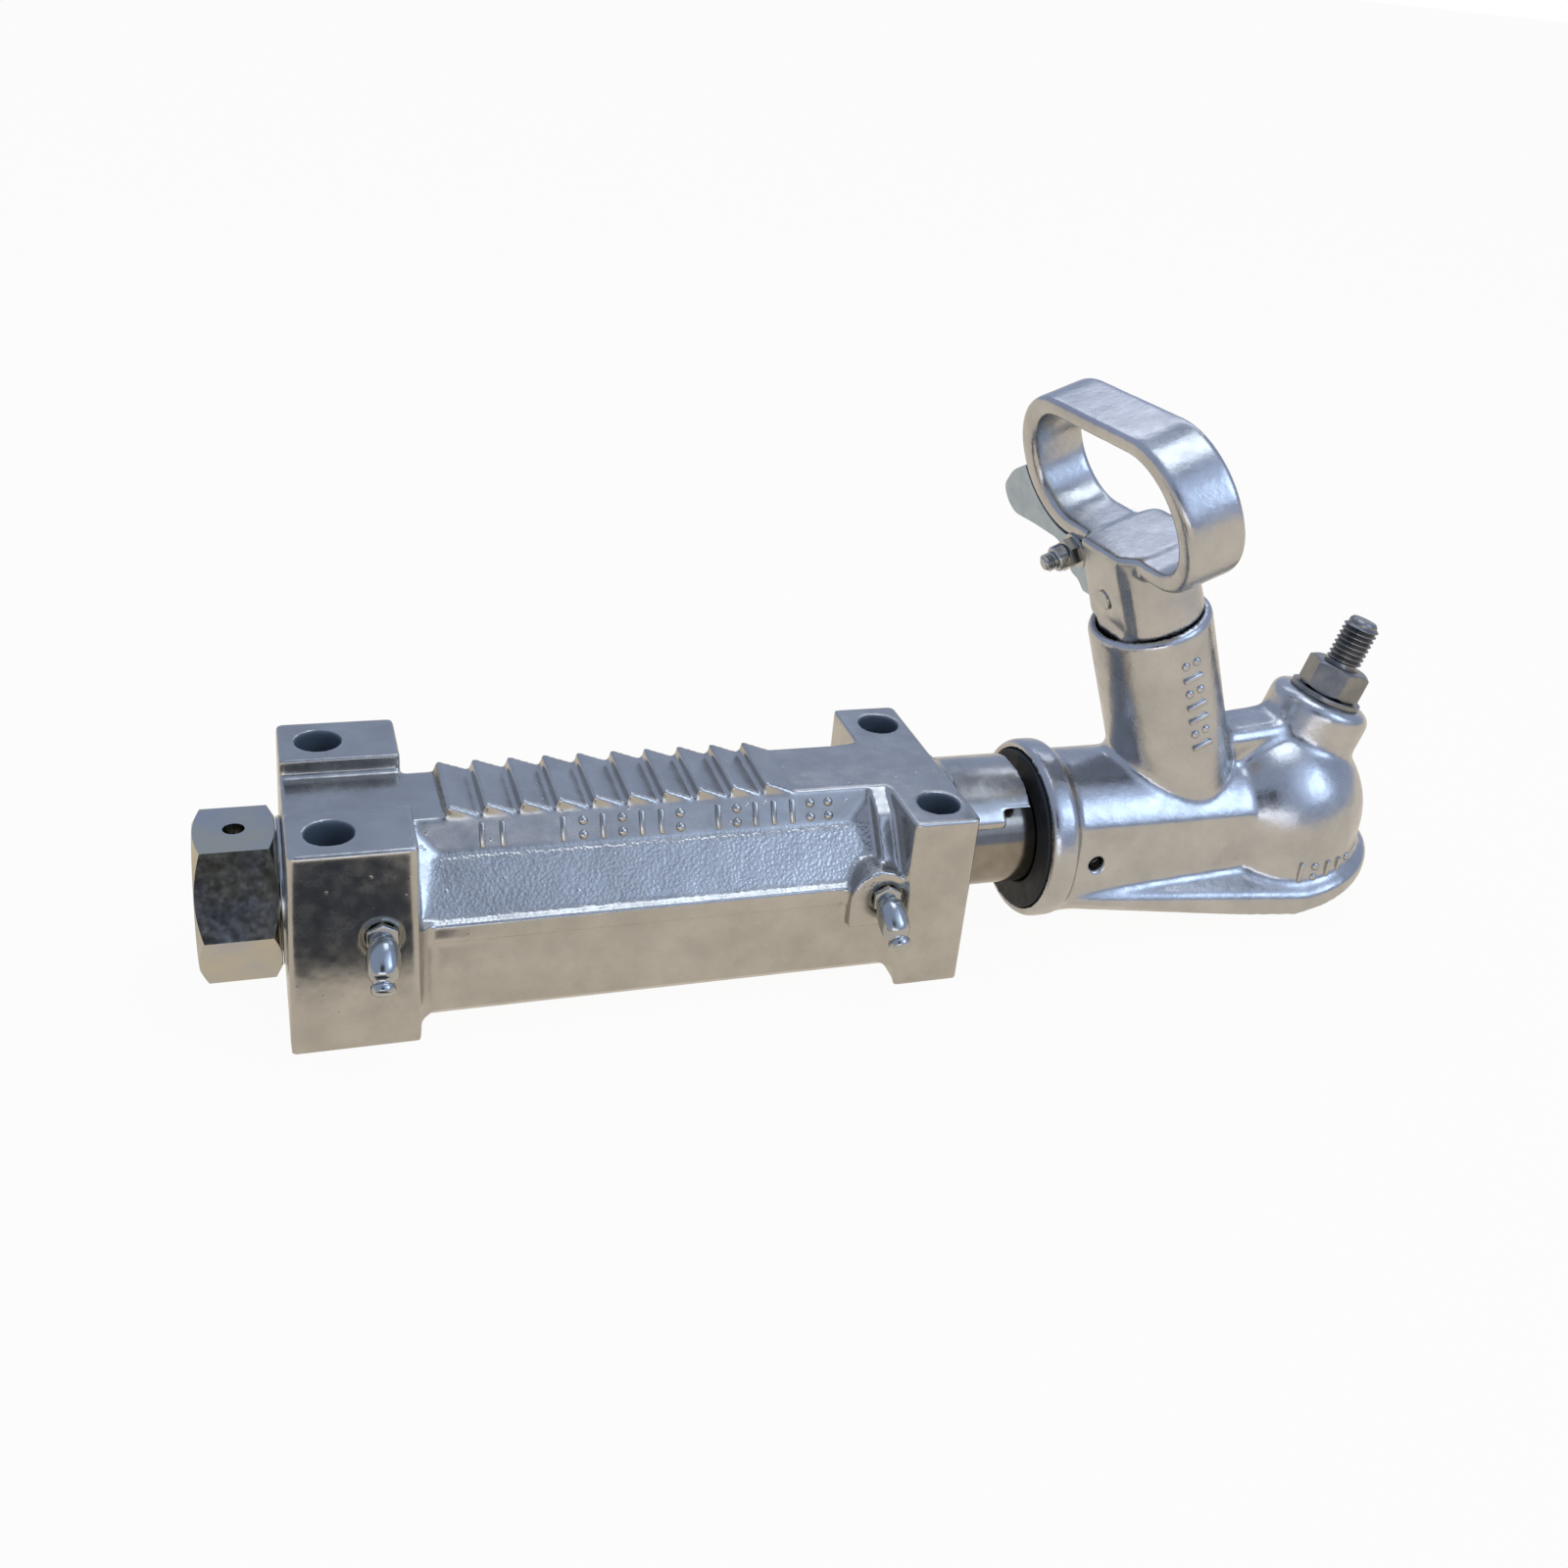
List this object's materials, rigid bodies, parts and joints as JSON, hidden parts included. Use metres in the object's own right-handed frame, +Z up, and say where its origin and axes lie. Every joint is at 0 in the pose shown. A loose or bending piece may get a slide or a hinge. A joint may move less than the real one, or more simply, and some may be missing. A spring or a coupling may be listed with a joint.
{
  "type": "swivelling tow-ball coupling",
  "caption": "Cast four-bolt housing with a ratchet-toothed top, a pinned swivelling drawbar shaft and a ball-socket head locked by a lift-up loop handle with a thumb trigger.",
  "frame": {"origin": "centre of the four bolt holes on the housing's mounting plane", "axes": "+X along the shaft towards the ball, +Z up from the mounting plane"},
  "size_m": [0.3914, 0.1228, 0.1769],
  "materials": {
    "galvanised_casting": "cast steel, zinc coated, satin",
    "zinc_plated_steel": "zinc plated",
    "zinc_plated_plate": "zinc plated plate, pale blue",
    "bright_steel": "turned, lightly plated",
    "plated_shaft": "ground and hard plated",
    "spring_steel": "drawn wire",
    "bronze": "machined bearing bronze",
    "black_rubber": "moulded, matte"
  },
  "bodies": {
    "housing": {"housing_casting": "galvanised_casting", "rear_shaft_bush": "bronze", "front_shaft_bush": "bronze", "rear_wiper_seal": "black_rubber", "front_wiper_seal": "black_rubber", "rear_grease_nipple": "zinc_plated_steel", "front_grease_nipple": "zinc_plated_steel"},
    "thrust_washer": {"thrust_washer": "zinc_plated_steel"},
    "drawbar": {"drawbar_shaft": "plated_shaft", "shaft_nut": "bright_steel", "nut_locking_pin": "bright_steel", "head_casting": "galvanised_casting", "head_cross_pin": "bright_steel", "rubber_buffer": "black_rubber", "ball_pad": "bright_steel", "adjuster_stud": "zinc_plated_steel", "adjuster_washer": "zinc_plated_steel", "adjuster_nut": "zinc_plated_steel"},
    "handle": {"handle_casting": "galvanised_casting", "handle_pin": "bright_steel", "locking_plunger": "bright_steel", "plunger_spring": "spring_steel", "trigger_bolt": "zinc_plated_steel", "trigger_washer": "zinc_plated_steel", "trigger_nut": "zinc_plated_steel", "trigger_spring": "spring_steel"},
    "trigger": {"trigger_plate": "zinc_plated_plate"}
  },
  "joints": [
    {"name": "shaft_end_float", "type": "slide", "parent": "housing", "child": "thrust_washer", "axis": [1, 0, 0], "range_m": [-0.004, 0]},
    {"name": "head_swivel", "type": "hinge", "parent": "thrust_washer", "child": "drawbar", "pos_m": [0, 0, 0.0305], "axis": [1, 0, 0], "continuous": true},
    {"name": "handle_lift", "type": "slide", "parent": "drawbar", "child": "handle", "axis": [-0.342, 0, 0.9397], "range_m": [0, 0.025], "stiffness_N_per_m": 1200, "springref_m": -0.02, "deforming": ["plunger_spring"]},
    {"name": "trigger_press", "type": "hinge", "parent": "handle", "child": "trigger", "pos_m": [0.15082, 0.02272, 0.12108], "axis": [0.9361, 0.0872, 0.3407], "range_deg": [-12, 0], "stiffness_Nm_per_rad": 0.6, "springref_deg": 11.46}
  ]
}
